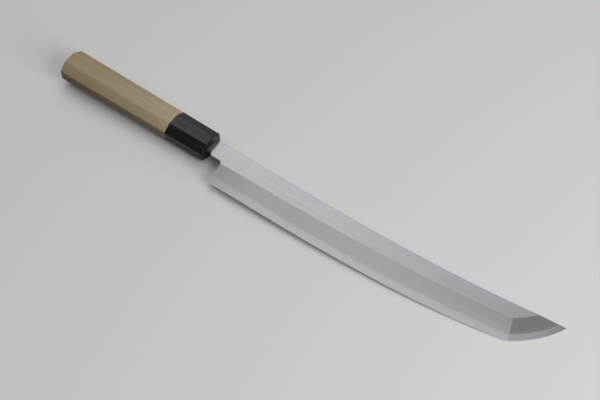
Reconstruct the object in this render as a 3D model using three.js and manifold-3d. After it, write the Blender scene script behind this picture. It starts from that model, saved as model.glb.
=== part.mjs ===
// A long single-bevel slicing knife with a rounded sword-like point, lying on its flat left side.
// The blade is two layers, soft iron over hard steel, and its tang runs through a horn ferrule into a wooden
// handle. Lengths are in millimetres. The pieces are drawn in the knife's own frame: its origin is the middle of the
// ferrule's front face, +X runs to the tip, +Y to the spine and +Z to the ground right side.

import * as THREE from 'three';
import { mergeVertices } from 'three/addons/utils/BufferGeometryUtils.js';
import Module from 'manifold-3d';

// Blade outline
const bladeLength = 300; // heel to tip, along X
const heelSetback = 16.2; // ferrule face to heel
const heelDrop = 27.5; // long cutting edge below the handle's middle line, at the heel
const heelLean = 1.3; // how far the heel line leans forward on its way up to the neck
const heelFillet = 3.2; // hollow corner between neck and heel line
const edgeStraight = 14.6; // straight stretch of the long edge, next to the heel
const edgeRise = 15.2; // rise of the long edge from the heel to its corner
const pointLength = 33.9; // corner of the edge to the tip, along X
const pointBulge = 3.9; // how far the point's arc stands out from its chord
const spineHeight = 8.1; // spine above the handle's middle line, at the neck
const spineStraight = 4.3; // straight stretch of the spine, past the heel
const spineRise = 15.4; // rise of the spine from the neck to the tip
const neckDepth = 7.4; // lower edge of the neck below the handle's middle line
const neckStart = 3.6; // ferrule face to the ground neck
const neckShoulder = 2.2; // length of the slanted corners where the neck meets the tang

// Blade thickness and grinds
const heelThickness = 4; // spine at the neck and heel
const pointThickness = 2.6; // spine where the point begins
const heelFlatWidth = 17.2; // flat above the ridge line, at the heel
const pointFlatWidth = 12.3; // flat above the ridge line, where the point begins
const pointBevelWidth = 17.6; // bevel of the rounded point, square to its edge
const edgeLand = 0.15; // blunt width left at the cutting edge
const heelSteelThickness = 1.45; // hard steel layer at the heel
const pointSteelThickness = 0.9; // hard steel layer where the point begins
const steelStart = 9; // ferrule face to the neck end of the hard steel layer
const weldLine = 0.02; // parting between the two welded layers
const hollowDepth = 0.35; // hollow ground in the back
const hollowRim = 2.4; // flat rim left round the hollow
const hollowHeelMargin = 7; // heel to the near end of the hollow
const hollowPointMargin = 6; // corner of the edge to the far end of the hollow

// Tang
const tangLength = 98; // ferrule face to the tang's end
const tangHeight = 10; // at the neck
const tangEndHeight = 5.5;
const tangThickness = 3.4; // at the neck
const tangEndThickness = 1.8;
const tangOffset = 0.5; // tang's middle line above the handle's

// Handle: octagonal, tapering in a straight line from butt to ferrule face
const woodLength = 112.5; // ferrule to the corners of the butt
const ferruleLength = 38;
const buttHeight = 27.9; // along Y
const buttWidth = 21.1; // along Z
const buttTopFlat = 11.6; // flat on each broad side
const buttEdgeFlat = 10; // flat on each narrow side
const frontHeight = 25.2;
const frontWidth = 18.7;
const frontTopFlat = 9.9;
const frontEdgeFlat = 8.9;
const buttDome = 1.5; // rounded end past the butt's corners
const frontChamfer = 0.5; // eased front rim of the ferrule
const tenonDiameter = 14;
const boreDepth = 24; // blind bore in the back of the ferrule
const tenonClearance = 0.15; // all round the tenon
const tenonEndGap = 0.6; // end of the tenon to the end of its bore
const glueLine = 0.05; // between the shoulder of the wood and the ferrule
const tangClearance = 0.3; // all round the tang in the wood
const tangEndGap = 3; // end of the tang to the end of its slot

// Resin seal in the mouth of the ferrule's slot
const slotClearance = 1.2; // all round the tang in the ferrule
const sealDepth = 5;
const sealRecess = 0.3; // ferrule face to the seal
const sealGap = 0.05; // resin to tang and to slot wall

// How the knife lies, and how finely the round shapes are cut
const bearingShare = 0.58; // where the point's arc touches the table, from its corner (0) to the tip (1)
const curveSteps = 32;
const roundSteps = 40;
const hollowSteps = 8; // across the hollow of the back
const overcut = 4; // how far a cutting solid reaches past the stock
const bevelOvercut = 0.5; // the same for a bevel, as a share of the bevel's width
const hollowOvercut = 0.04; // the same for the hollow of the back, as a share of its half width

// Places that follow from the sizes
const heelX = heelSetback;
const tipX = heelX + bladeLength;
const cornerX = tipX - pointLength;
const cornerY = edgeRise - heelDrop;
const tipY = spineHeight + spineRise;
const edgeCurveX = heelX + edgeStraight;
const spineCurveX = heelX + spineStraight;
const buttX = -(ferruleLength + woodLength);
const backZ = -heelThickness / 2;

const wasm = await Module();
wasm.setup();

const { lerp } = THREE.MathUtils;

// Straight-line change from one value at x = from to another at x = to, carried on past both
function along(x, from, to, fromValue, toValue) {
  return lerp(fromValue, toValue, (x - from) / (to - from));
}

// The long edge and the spine run straight, then rise as a cube
function edgeY(x) {
  const share = Math.max(0, (x - edgeCurveX) / (cornerX - edgeCurveX));
  return edgeRise * share ** 3 - heelDrop;
}

function spineY(x) {
  const share = Math.max(0, (x - spineCurveX) / (tipX - spineCurveX));
  return spineHeight + spineRise * share ** 3;
}

function ridgeY(x) {
  return spineY(x) - along(x, heelX, cornerX, heelFlatWidth, pointFlatWidth);
}

function bladeThickness(x) {
  return along(x, heelX, cornerX, heelThickness, pointThickness);
}

function steelThickness(x) {
  return along(x, heelX, cornerX, heelSteelThickness, pointSteelThickness);
}

function tangHeightAt(x) {
  return along(x, -tangLength, neckStart, tangEndHeight, tangHeight);
}

function tangThicknessAt(x) {
  return along(x, -tangLength, neckStart, tangEndThickness, tangThickness);
}

// Circle of the rounded point, through the corner of the edge and the tip
function pointCircle() {
  const corner = new THREE.Vector2(cornerX, cornerY);
  const tip = new THREE.Vector2(tipX, tipY);
  const chord = tip.clone().sub(corner);
  const radius = chord.lengthSq() / (8 * pointBulge) + pointBulge / 2;
  const inward = new THREE.Vector2(-chord.y, chord.x).normalize();
  const centre = corner.clone().lerp(tip, 0.5).addScaledVector(inward, radius - pointBulge);
  return {
    centre,
    radius,
    cornerAngle: Math.atan2(corner.y - centre.y, corner.x - centre.x),
    tipAngle: Math.atan2(tip.y - centre.y, tip.x - centre.x),
  };
}

const circle = pointCircle();

// Closed skin over a row of rings, each ring turning the same way about the direction of travel
function loft(rings) {
  const count = rings[0].length;
  const last = (rings.length - 1) * count;
  const index = [];
  for (let start = 0; start < last; start += count) {
    for (let side = 0; side < count; side += 1) {
      const a = start + side;
      const b = start + (side + 1) % count;
      index.push(a, b, b + count, a, b + count, a + count);
    }
  }
  for (let side = 1; side + 1 < count; side += 1) {
    index.push(0, side + 1, side);
    index.push(last, last + side, last + side + 1);
  }
  const geometry = new THREE.BufferGeometry().setFromPoints(rings.flat());
  geometry.setIndex(index);
  return geometry;
}

function solidOf(geometry) {
  const bare = new THREE.BufferGeometry();
  bare.setAttribute('position', geometry.getAttribute('position'));
  bare.setIndex(geometry.getIndex());
  const merged = mergeVertices(bare);
  return new wasm.Manifold(new wasm.Mesh({
    numProp: 3,
    vertProperties: merged.getAttribute('position').array,
    triVerts: Uint32Array.from(merged.getIndex().array),
  }));
}

function geometryOf(solid) {
  const mesh = solid.getMesh();
  const geometry = new THREE.BufferGeometry();
  geometry.setAttribute('position', new THREE.BufferAttribute(mesh.vertProperties, mesh.numProp));
  geometry.setIndex(new THREE.BufferAttribute(mesh.triVerts, 1));
  geometry.computeVertexNormals();
  return geometry;
}

// Rings square to X, given as pairs of Y and Z that turn from +Y to +Z
function ringAt(x, pairs) {
  return pairs.map(([y, z]) => new THREE.Vector3(x, y, z));
}

function evenly(from, to, steps) {
  return Array.from({ length: steps + 1 }, (_, step) => lerp(from, to, step / steps));
}

// Blade and tang seen from the right, standing on the back plane
function outlineSolid() {
  const outline = new THREE.Shape();
  const edgeThird = (cornerX - edgeCurveX) / 3;
  const spineThird = (tipX - spineCurveX) / 3;
  const filletX = heelX + heelLean;
  outline.moveTo(-tangLength, tangOffset - tangEndHeight / 2);
  outline.lineTo(neckStart, tangOffset - tangHeight / 2);
  outline.lineTo(neckStart + neckShoulder, -neckDepth);
  outline.lineTo(filletX - heelFillet, -neckDepth);
  outline.quadraticCurveTo(filletX, -neckDepth, filletX, -neckDepth - heelFillet);
  outline.lineTo(heelX, -heelDrop);
  outline.lineTo(edgeCurveX, -heelDrop);
  outline.bezierCurveTo(
    edgeCurveX + edgeThird, -heelDrop, cornerX - edgeThird, -heelDrop, cornerX, cornerY,
  );
  outline.absarc(circle.centre.x, circle.centre.y, circle.radius, circle.cornerAngle, circle.tipAngle);
  outline.bezierCurveTo(
    tipX - spineThird, spineHeight, spineCurveX + spineThird, spineHeight, spineCurveX, spineHeight,
  );
  outline.lineTo(neckStart + neckShoulder, spineHeight);
  outline.lineTo(neckStart, tangOffset + tangHeight / 2);
  outline.lineTo(-tangLength, tangOffset + tangEndHeight / 2);
  return solidOf(new THREE.ExtrudeGeometry(outline, {
    depth: heelThickness,
    curveSegments: curveSteps,
    bevelEnabled: false,
  }));
}

// An outline in X and Z, carried across the whole height of the blade
function acrossBlade(outline) {
  const reach = 2 * (heelDrop + tipY);
  const geometry = new THREE.ExtrudeGeometry(outline, { depth: reach, bevelEnabled: false });
  geometry.rotateX(Math.PI / 2);
  geometry.translate(0, reach / 2, 0);
  return solidOf(geometry);
}

// Tang and blade seen from the spine: flat back, right side thinning towards the tip
function thicknessSolid() {
  const farX = tipX + overcut;
  const endX = -tangLength - overcut;
  const middle = heelThickness / 2;
  const tangStep = neckStart + neckShoulder / 2;
  const side = new THREE.Shape();
  side.moveTo(endX, middle - tangThicknessAt(endX) / 2);
  side.lineTo(neckStart, middle - tangThickness / 2);
  side.lineTo(tangStep, 0);
  side.lineTo(farX, 0);
  side.lineTo(farX, bladeThickness(farX));
  side.lineTo(heelX, heelThickness);
  side.lineTo(tangStep, heelThickness);
  side.lineTo(neckStart, middle + tangThickness / 2);
  side.lineTo(endX, middle + tangThicknessAt(endX) / 2);
  return acrossBlade(side);
}

// Section of what a bevel grinds away: all above the line from edge to ridge, carried on past both.
// Pairs of distance across the bevel and height above the back plane.
function bevelSection(edgePlace, ridgePlace, ridgeHeight) {
  const edge = new THREE.Vector2(edgePlace, edgeLand);
  const ridge = new THREE.Vector2(ridgePlace, ridgeHeight);
  const low = edge.clone().lerp(ridge, -bevelOvercut);
  const high = edge.clone().lerp(ridge, 1 + bevelOvercut);
  const top = high.y + overcut;
  return [[low.x, low.y], [high.x, high.y], [high.x, top], [low.x, top]];
}

function longBevelCut() {
  const rings = evenly(heelX - overcut, tipX + overcut, 2 * curveSteps)
    .map((x) => ringAt(x, bevelSection(edgeY(x), ridgeY(x), bladeThickness(x))));
  return solidOf(loft(rings));
}

// The bevel of the rounded point is part of a cone about the middle of the point's arc
function pointBevelCut() {
  const section = bevelSection(circle.radius, circle.radius - pointBevelWidth, pointThickness);
  const lead = (circle.tipAngle - circle.cornerAngle) / 3;
  const rings = evenly(circle.cornerAngle - lead, circle.tipAngle + lead, 2 * curveSteps)
    .map((angle) => section.map(([radius, z]) => new THREE.Vector3(
      circle.centre.x + radius * Math.cos(angle),
      circle.centre.y + radius * Math.sin(angle),
      z,
    )));
  return solidOf(loft(rings));
}

// Shallow hollow in the back, dying out to a flat rim on all sides
function backHollowCut() {
  const from = heelX + hollowHeelMargin;
  const to = cornerX - hollowPointMargin;
  const reach = 1 + hollowOvercut;
  const rings = evenly(-reach, reach, curveSteps).map((run) => {
    const x = lerp(from, to, (run + 1) / 2);
    const middle = (spineY(x) + edgeY(x)) / 2;
    const half = (spineY(x) - edgeY(x)) / 2 - hollowRim;
    const arch = evenly(reach, -reach, hollowSteps)
      .map((share) => [middle + half * share, hollowDepth * (1 - share ** 2 - run ** 6)]);
    return ringAt(x, [
      [middle - half * reach, -overcut],
      [middle + half * reach, -overcut],
      ...arch,
    ]);
  });
  return solidOf(loft(rings));
}

// Everything of the blade below the weld between steel and iron
function steelSide(parting) {
  const startX = steelStart - parting;
  const farX = tipX + overcut;
  const side = new THREE.Shape();
  side.moveTo(startX, -overcut);
  side.lineTo(farX, -overcut);
  side.lineTo(farX, steelThickness(farX) + parting);
  side.lineTo(startX, steelThickness(startX) + parting);
  return acrossBlade(side);
}

function groundBlade() {
  return outlineSolid()
    .intersect(thicknessSolid())
    .subtract(longBevelCut())
    .subtract(pointBevelCut())
    .subtract(backHollowCut());
}

// Octagonal section of the handle at x, drawn in from its faces by an inset
function handleRing(x, inset = 0) {
  const height = along(x, 0, buttX, frontHeight, buttHeight) / 2 - inset;
  const width = along(x, 0, buttX, frontWidth, buttWidth) / 2 - inset;
  const topFlat = along(x, 0, buttX, frontTopFlat, buttTopFlat) / 2 - inset / 2;
  const edgeFlat = along(x, 0, buttX, frontEdgeFlat, buttEdgeFlat) / 2 - inset / 2;
  return ringAt(x, [
    [height, edgeFlat], [topFlat, width], [-topFlat, width], [-height, edgeFlat],
    [-height, -edgeFlat], [-topFlat, -width], [topFlat, -width], [height, -edgeFlat],
  ]);
}

// Four-sided section of the tang at x, grown on all sides by a clearance
function tangRing(x, clearance) {
  const height = tangHeightAt(x) / 2 + clearance;
  const thickness = tangThicknessAt(x) / 2 + clearance;
  return ringAt(x, [
    [tangOffset + height, thickness], [tangOffset - height, thickness],
    [tangOffset - height, -thickness], [tangOffset + height, -thickness],
  ]);
}

function tangSlot(from, to, clearance) {
  return solidOf(loft([tangRing(from, clearance), tangRing(to, clearance)]));
}

// Round bar along X
function roundBar(from, to, diameter) {
  const geometry = new THREE.CylinderGeometry(diameter / 2, diameter / 2, to - from, roundSteps);
  geometry.rotateZ(Math.PI / 2);
  geometry.translate((from + to) / 2, 0, 0);
  return solidOf(geometry);
}

// Ball whose surface passes through the butt's outer corners and stands out by the dome at the middle
function buttBall() {
  const cornerRadius = Math.hypot(buttHeight, buttEdgeFlat) / 2;
  const radius = (cornerRadius ** 2 + buttDome ** 2) / (2 * buttDome);
  const geometry = new THREE.SphereGeometry(radius, roundSteps, roundSteps);
  geometry.rotateZ(Math.PI / 2);
  geometry.translate(buttX - buttDome + radius, 0, 0);
  return solidOf(geometry);
}

// Stock past the butt that lies outside the ball
function buttEndCut() {
  const outerX = buttX - buttDome - 2 * overcut;
  const innerX = buttX + buttDome;
  const block = new THREE.BoxGeometry(innerX - outerX, 2 * buttHeight, 2 * buttWidth);
  block.translate((innerX + outerX) / 2, 0, 0);
  return solidOf(block).subtract(buttBall());
}

function handleWood() {
  const shoulderX = -ferruleLength - glueLine;
  const tenonX = -ferruleLength + boreDepth - tenonEndGap;
  return solidOf(loft([handleRing(buttX - buttDome - overcut), handleRing(shoulderX)]))
    .subtract(buttEndCut())
    .add(roundBar(shoulderX - overcut, tenonX, tenonDiameter))
    .subtract(tangSlot(-tangLength - tangEndGap, tenonX + overcut, tangClearance));
}

function hornFerrule() {
  const boreX = -ferruleLength + boreDepth;
  const boreDiameter = tenonDiameter + 2 * tenonClearance;
  const body = loft([
    handleRing(-ferruleLength), handleRing(-frontChamfer), handleRing(0, frontChamfer),
  ]);
  return solidOf(body)
    .subtract(roundBar(-ferruleLength - overcut, boreX, boreDiameter))
    .subtract(tangSlot(boreX - overcut, overcut, slotClearance));
}

function tangSeal() {
  return tangSlot(-sealDepth, -sealRecess, slotClearance - sealGap)
    .subtract(tangSlot(-sealDepth - overcut, -sealRecess + overcut, sealGap));
}

function piece(name, solid, finish) {
  const mesh = new THREE.Mesh(geometryOf(solid), new THREE.MeshStandardMaterial(finish));
  mesh.name = name;
  return mesh;
}

// The knife leans to its edge: it bears on the ferrule's lower corner and on one place of the point's arc
function layOnTable(knife) {
  const angle = lerp(circle.cornerAngle, circle.tipAngle, bearingShare);
  const [, , , , , foot] = handleRing(-frontChamfer);
  const bearing = new THREE.Vector3(
    circle.centre.x + circle.radius * Math.cos(angle),
    circle.centre.y + circle.radius * Math.sin(angle),
    backZ,
  );
  const tangent = new THREE.Vector3(-Math.sin(angle), Math.cos(angle), 0);
  const up = bearing.sub(foot).cross(tangent).normalize();
  const ahead = new THREE.Vector3(1, 0, 0).projectOnPlane(up).normalize();
  const turned = new THREE.Matrix4().makeBasis(ahead, up.clone().cross(ahead), up).transpose();
  knife.quaternion.setFromRotationMatrix(turned);
}

const blade = groundBlade();
const ironBody = piece('blade_soft_iron', blade.subtract(steelSide(weldLine)), {
  color: 0xaeb0b2, roughness: 0.42, metalness: 1,
});
const steelLayer = piece('blade_hard_steel', blade.intersect(steelSide(0)), {
  color: 0xc4c6c8, roughness: 0.3, metalness: 1,
});
const ferrule = piece('horn_ferrule', hornFerrule(), { color: 0x121110, roughness: 0.22, metalness: 0 });
const handle = piece('wood_handle', handleWood(), { color: 0xc4ae86, roughness: 0.6, metalness: 0 });
const seal = piece('tang_seal', tangSeal(), { color: 0x2a1c12, roughness: 0.4, metalness: 0 });

ironBody.position.z = backZ;
steelLayer.position.z = backZ;

const knife = new THREE.Group();
knife.add(ironBody, steelLayer, ferrule, handle, seal);
layOnTable(knife);

// The origin is on the table, under the middle of the knife's box
const group = new THREE.Group();
group.add(knife);
const box = new THREE.Box3().setFromObject(group, true);
const middle = box.getCenter(new THREE.Vector3());
knife.position.set(-middle.x, -middle.y, -box.min.z);

export default group;
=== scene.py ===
"""A long single-bevel slicing knife: laminated blade, rounded point, horn ferrule and octagonal wood handle.

The pieces are drawn in the knife's own frame, in metres. Its origin is the middle of the ferrule's front
face, X runs to the tip, Y to the spine and Z to the bevelled right side. Each mesh is then turned and shifted
to the way the knife lies on the table.
"""

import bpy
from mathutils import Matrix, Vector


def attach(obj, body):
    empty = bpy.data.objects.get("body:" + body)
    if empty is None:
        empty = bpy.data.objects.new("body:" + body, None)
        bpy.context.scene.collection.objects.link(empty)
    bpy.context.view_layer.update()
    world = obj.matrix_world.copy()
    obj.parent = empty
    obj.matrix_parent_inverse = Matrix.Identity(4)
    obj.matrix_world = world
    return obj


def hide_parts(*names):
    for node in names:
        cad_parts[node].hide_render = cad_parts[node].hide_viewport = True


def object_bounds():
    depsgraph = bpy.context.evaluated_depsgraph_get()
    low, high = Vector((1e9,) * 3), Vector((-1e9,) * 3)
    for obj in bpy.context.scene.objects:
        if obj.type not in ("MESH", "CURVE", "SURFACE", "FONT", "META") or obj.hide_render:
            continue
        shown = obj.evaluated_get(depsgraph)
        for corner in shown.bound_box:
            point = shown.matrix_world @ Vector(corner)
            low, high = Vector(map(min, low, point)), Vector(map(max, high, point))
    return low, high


bl_info = {
    "name": "Single-bevel slicing knife",
    "version": (1, 0, 0),
    "blender": (4, 5, 0),
    "location": "View3D > Sidebar > Knife",
    "description": "Builds a laminated slicing knife with a horn ferrule and an octagonal wood handle",
    "category": "Add Mesh",
}

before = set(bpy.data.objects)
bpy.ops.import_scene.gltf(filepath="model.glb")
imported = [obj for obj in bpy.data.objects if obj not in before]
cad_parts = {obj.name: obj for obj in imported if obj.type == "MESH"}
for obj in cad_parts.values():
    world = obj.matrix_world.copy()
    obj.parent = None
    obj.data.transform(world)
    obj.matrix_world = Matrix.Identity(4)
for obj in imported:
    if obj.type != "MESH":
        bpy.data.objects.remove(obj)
CAD_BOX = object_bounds()

import math
from typing import NamedTuple

import bmesh
import bpy
from bpy.props import FloatProperty, FloatVectorProperty, PointerProperty
from mathutils import Matrix, Vector

BODY = "root"
MM = 0.001
MIX_FIRST, MIX_SECOND, MIX_RESULT = 6, 7, 2  # places of the Mix node's colour sockets

# Rows of cells across the blade
SPINE_ROWS = ((0.0, 1.0), (0.29, 0.29), (1.0, 0.0))  # inset and drop of an eased spine, as shares of its ease
FLAT_STEPS = 7  # across the flat, between its eased edges
RIDGE_STEPS = 3  # on each side of the eased ridge
BEVEL_STEPS = 9  # across the iron of a bevel, below its ridge
STEEL_STEPS = 5  # across the steel of a bevel
RIDGE_ROW = len(SPINE_ROWS) - 1 + FLAT_STEPS + RIDGE_STEPS
WELD_ROW = RIDGE_ROW + RIDGE_STEPS + BEVEL_STEPS
EDGE_ROW = WELD_ROW + STEEL_STEPS + 1

# Ribs along the blade
HIDDEN_STEPS = 8  # along the tang inside the handle
RAMP_STEPS = 9  # along the bare tang in front of the ferrule
SHOULDER_STEPS = 6  # along the shoulders of the neck
FILLET_STEPS = 6  # round the heel fillet, down to the ridge
LONG_STEPS = 110  # along the long bevel
POINT_STEPS = 16  # along each of the point's three stretches
TANG_SHOWN = -1.0 * MM  # the tang is hidden behind this, inside the ferrule
NECK_RIB = 11.5 * MM  # a rib between the start of the steel and the heel fillet

# Shape of the blade, beyond its sizes
RISE_POWER = 3  # edge and spine rise with this power of the way along them
HOLLOW_POWER = 6  # the hollow of the back runs out with this power of the way to its ends
HOLLOW_LIMIT = 0.5  # it takes at most this share of a bevel's height
FILLET_FADE = 0.8  # share of the heel fillet over which the neck's round edge becomes the ridge
EASE_LIMIT = 0.25  # an eased edge takes at most this share of a narrow strip
EASE_GROWTH = 2 * MM  # how fast the eased spine grows along a stretch of the point that has no flat
CONE_DROP = 0.3  # drop of that spine, as a share of its drop next to the flat
HONED_LIMIT = 0.5  # the honed strip takes at most this share of the point's steel
WELD_WAVES = ((0.017, 61 * MM, 0.6), (0.012, 23 * MM, 1.9), (0.008, 9.7 * MM, 0.3))  # share, length and start
POINT_WAVES = 12 * MM  # length of those waves that the point's weld line takes up next to the flat
WAVES_LEFT = 0.5  # share of them left where the point's flat ends

# Searches and tolerances
HALVINGS = 60  # steps of a search for where two curves meet
RIDGE_SEARCH = 40 * MM  # the ridge turns within this of the point corner
SPINE_SEARCH = 20 * MM  # the bevel of the point meets the spine within this of the point corner
CONE_SEARCH = 2 * MM  # how far past the bevel's two sides the spine is looked for
STEP_GAP = 0.01 * MM  # between two ribs where a height steps
SAME_SHARE = 1e-6  # shares of a rise closer than this are the same
SAME_HEIGHT = 0.0001 * MM  # so are heights
SAME_PLACE = 0.0001 * MM  # and corners of a bar
THIN_CELL = 0.01 * MM  # cells of the blade thinner than this are left out
PLAN_DIGITS = 4  # digits of a millimetre that tell corners of the blade apart in plan
BLADE_CREASE = math.radians(2.2)  # edges of the blade that turn more than this stay crisp
PIECE_CREASE = math.radians(24)  # so do edges of the other pieces that turn more than this

# Cells of the handle, and how its pieces are cut
OCTAGON = "tapered_octagon"
SECTION = ("Height", "Width", "Side flat", "Spine flat")  # sizes of the octagon that grow along the handle
AROUND = 480  # corners round a section
ALONG = 24  # sections along a piece
CAP_RINGS = 6  # rings of cells on the end of a piece
LEAST_OUT = 1e-6  # keeps the middle of an end from a division by nought
NO_DOME = (-10.0, 1.0)  # place and radius of a ball that cuts nothing off
RIM_TURN = math.radians(40)  # edges that turn more than this are rims
RIM_STEPS = 5  # across an eased rim
ROUND_STEPS = 96  # round the tenon and its bore
OVERCUT = 1 * MM  # how far a tool reaches past the stock, or into it

# Floor, surroundings and lamps
FLOOR_RADIUS = 6.0
FLOOR_STEPS = 64
SENSOR_WIDTH = 36.0  # in millimetres
DOME_AXIS = (-0.35, 0.35, 0.87)  # where the surroundings are brightest
DOME_POWER = 2.5  # how fast they get darker away from it
KEY_PLACE = (-0.5, 0.62, 1.3)
KEY_SIZE = (1.0, 0.6)
FILL_PLACE = (1.275, -0.15, 0.78)
FILL_SIZE = (1.0, 1.0)

# How the finishes vary: waves are counted per metre along each axis, ranges run from low to high
UNIT = (0.0, 1.0)
PLAIN = (1.0, 1.0, 1.0)
NOISE = (0.3, 0.7)  # what most of a noise covers
TWO_NOISES = (0.7, 1.3)  # what most of the sum of two covers
NOISE_MIDDLE = 0.5
GLOSS_PLAY = 0.05  # how uneven the roughness of a metal is
SATIN_ROUGHNESS = 0.36
SATIN_CLOUDS = (70.0, 70.0, 70.0)
SATIN_LINES = (14.0, 2600.0, 1.0)  # fine lines along the blade
SATIN_BANDS = (5.0, 430.0, 1.0)  # broad lines along it
SATIN_BAND_SHARE = 0.5  # the rest is clouds
SATIN_MOTTLE = 0.06  # how much lighter and darker they make it
SATIN_DEPTH = 0.0015 * MM  # of the fine lines
STAIN_EDGE = (-2 * MM, 1.6 * MM)  # where the stain by the ferrule fades out, from the start of the neck
STAIN_PATCHES = (420.0, 420.0, 420.0)
STAIN_WANDER = 2 * MM  # how ragged the stain's edge is
STAIN_DULLNESS = 0.2  # roughness that the stain adds
STAIN_METAL = 0.5  # how metallic it is
HAZE_LINES = (14.0, 40.0, 1.0)
HAZE_WANDER = 3  # how far the soft line between iron and steel drifts, in half widths of it
HAZE_DEPTH = 0.001 * MM
HEEL_SHADE = 38 * MM  # length of the long bevel that painted shade makes darker, from the heel on
LONG_FADING = 180 * MM  # X from which painted shade makes the long bevel darker again
POINT_FADING = 17 * MM  # point corner to where painted shade starts to make the point darker
RIDGE_START = 0.03  # how much darker painted shade makes a bevel under its ridge where the fading starts
WELD_LEVEL = 1.02  # level of a bevel at its weld
HORN_FIBRES = (16.0, 900.0, 900.0)
HORN_BANDS = (6.0, 160.0, 160.0)
HORN_RANGE = (0.2, 0.42)  # what most of the product of fibres and bands covers
HORN_TONES = (0.6, 2.6)
HORN_GLOSS = (0.14, 0.26)
HORN_DEPTH = 0.004 * MM
PALE_START = 0.3  # share of the wood, from the butt, after which it gets paler
WOOD_LAYERS = (1.0, 330.0, 150.0)
WOOD_DRIFT = (5.0, 40.0, 40.0)
LAYER_DRIFT = 5.0  # how far the drift moves the layers, in layers
LAYER_POWER = 2.5  # how late in a layer it gets darker
LAYER_LEVELS = (1.02, 0.93)
WOOD_FIBRES = (22.0, 1300.0, 1300.0)
WOOD_BANDS = (8.0, 180.0, 180.0)
WOOD_FIBRE_SHARE = 0.55  # the rest is bands
WOOD_RANGE = (0.32, 0.68)
WOOD_LEVELS = (0.9, 1.1)
WOOD_PORES = (140.0, 3600.0, 3600.0)
PORE_RANGE = (0.66, 0.74)
PORE_LEVELS = (1.0, 0.86)
PORE_DEPTH = 0.8  # of a pore, as a share of the depth of the fibres
WOOD_GLOSS = (0.56, 0.7)
WOOD_DEPTH = 0.03 * MM
DULL_TONES = (0.65, 1.45)
DULL_PLAY = 0.08  # how uneven the roughness of a dull surface is
DULL_DEPTH = 0.04 * MM


def length(name, millimetres, description):
    """A size in metres, given in millimetres."""
    return FloatProperty(
        name=name, description=description, default=millimetres * MM, precision=5, unit="LENGTH"
    )


def share(name, value, description):
    """A plain share or level."""
    return FloatProperty(name=name, description=description, default=value, precision=4, subtype="FACTOR")


def angle(name, degrees, description):
    """An angle in radians, given in degrees."""
    return FloatProperty(
        name=name, description=description, default=math.radians(degrees), subtype="ANGLE"
    )


def colour(name, value, description):
    """A linear colour."""
    return FloatVectorProperty(
        name=name, description=description, default=value, size=3, min=0.0, max=1.0, subtype="COLOR"
    )


class KnifeBladeSizes(bpy.types.PropertyGroup):
    """Sizes of the blade and its tang."""

    blade_length: length("Blade length", 300, "Heel to tip, along the knife")
    heel_setback: length("Heel setback", 16.2, "Ferrule to heel")
    heel_drop: length("Heel drop", 27.5, "Middle line down to the heel's corner")
    heel_lean: length("Heel lean", 1.3, "How far the heel line leans forward on its way up")
    heel_fillet: length("Heel fillet", 4.4, "Hollow between neck and heel line")
    edge_straight: length("Straight edge", 14.6, "Edge from the heel before it starts to rise")
    edge_rise: length("Edge rise", 15.2, "Rise of the edge from heel to point corner")
    point_length: length("Point length", 33.9, "Point corner to tip, along the knife")
    point_bulge: length("Point bulge", 3.9, "How far the point's arc stands out of its chord")
    spine_height: length("Spine height", 8.1, "Middle line up to the spine at the heel")
    spine_straight: length("Straight spine", 4.3, "Spine from the heel before it starts to rise")
    spine_rise: length("Spine rise", 15.4, "Rise of the spine from heel to tip")
    neck_depth: length("Neck depth", 7.4, "Middle line down to the neck's lower side")
    neck_start: length("Neck start", 3.6, "Ferrule to the shoulders of the neck")
    neck_shoulder: length("Neck shoulder", 2.2, "Length of the slanted shoulders")
    ramp_start: length("Ramp start", 0.8, "Ferrule to where the tang starts to thicken into the neck")
    ramp_end: length("Ramp end", 4.4, "Ferrule to where the neck has its full thickness")
    heel_thickness: length("Heel thickness", 4, "Spine at the heel")
    point_thickness: length("Point thickness", 2.6, "Spine at the point corner")
    heel_flat: length("Flat at heel", 17.2, "Spine to ridge at the heel")
    point_flat: length("Flat at point", 12.3, "Spine to ridge at the point corner")
    point_bevel: length("Point bevel", 17.6, "Width of the point's own bevel")
    cross_lead: length("Cross ridge lead", 2.6, "Point corner to the cross ridge's end, along the arc")
    ridge_lead: length("Ridge lead", 1.3, "How far the ridge follows the point's bevel up to the cross ridge")
    edge_land: length("Edge land", 0.15, "Height at which the bevels would end without the honed edge")
    edge_tip: length("Edge tip", 0.03, "Thickness of the honed edge itself")
    honed_width: length("Honed width", 0.45, "Width of the honed strip along the edge")
    heel_steel: length("Steel at heel", 1.45, "Thickness of the steel layer at the heel")
    point_steel: length("Steel at point", 0.9, "Thickness of the steel layer at the point corner")
    steel_start: length("Steel start", 9, "Ferrule to the start of the steel layer")
    hollow_depth: length("Hollow depth", 0.35, "Depth of the hollow in the back")
    hollow_rim: length("Hollow rim", 2.4, "Flat rim between hollow and outline")
    hollow_heel: length("Hollow from heel", 7, "Heel to the start of the hollow")
    hollow_point: length("Hollow from corner", 6, "End of the hollow to the point corner")
    eased_edge: length("Eased edge", 0.3, "Radius of the eased spine and neck edges")
    ridge_ease: length("Ridge ease", 0.7, "Half width of the softened ridge between flat and bevel")
    tang_length: length("Tang length", 98, "Ferrule's face to the end of the tang")
    tang_height: length("Tang height", 10, "Height at the shoulders")
    tang_end_height: length("Tang end height", 5.5, "Height at the end")
    tang_thickness: length("Tang thickness", 3.4, "Thickness at the shoulders")
    tang_end_thickness: length("Tang end thickness", 1.8, "Thickness at the end")
    tang_offset: length("Tang offset", 0.5, "Middle of the tang above the handle's middle line")
    bearing_share: share("Bearing", 0.58, "Share of the point's arc at which the blade touches the table")


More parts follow.
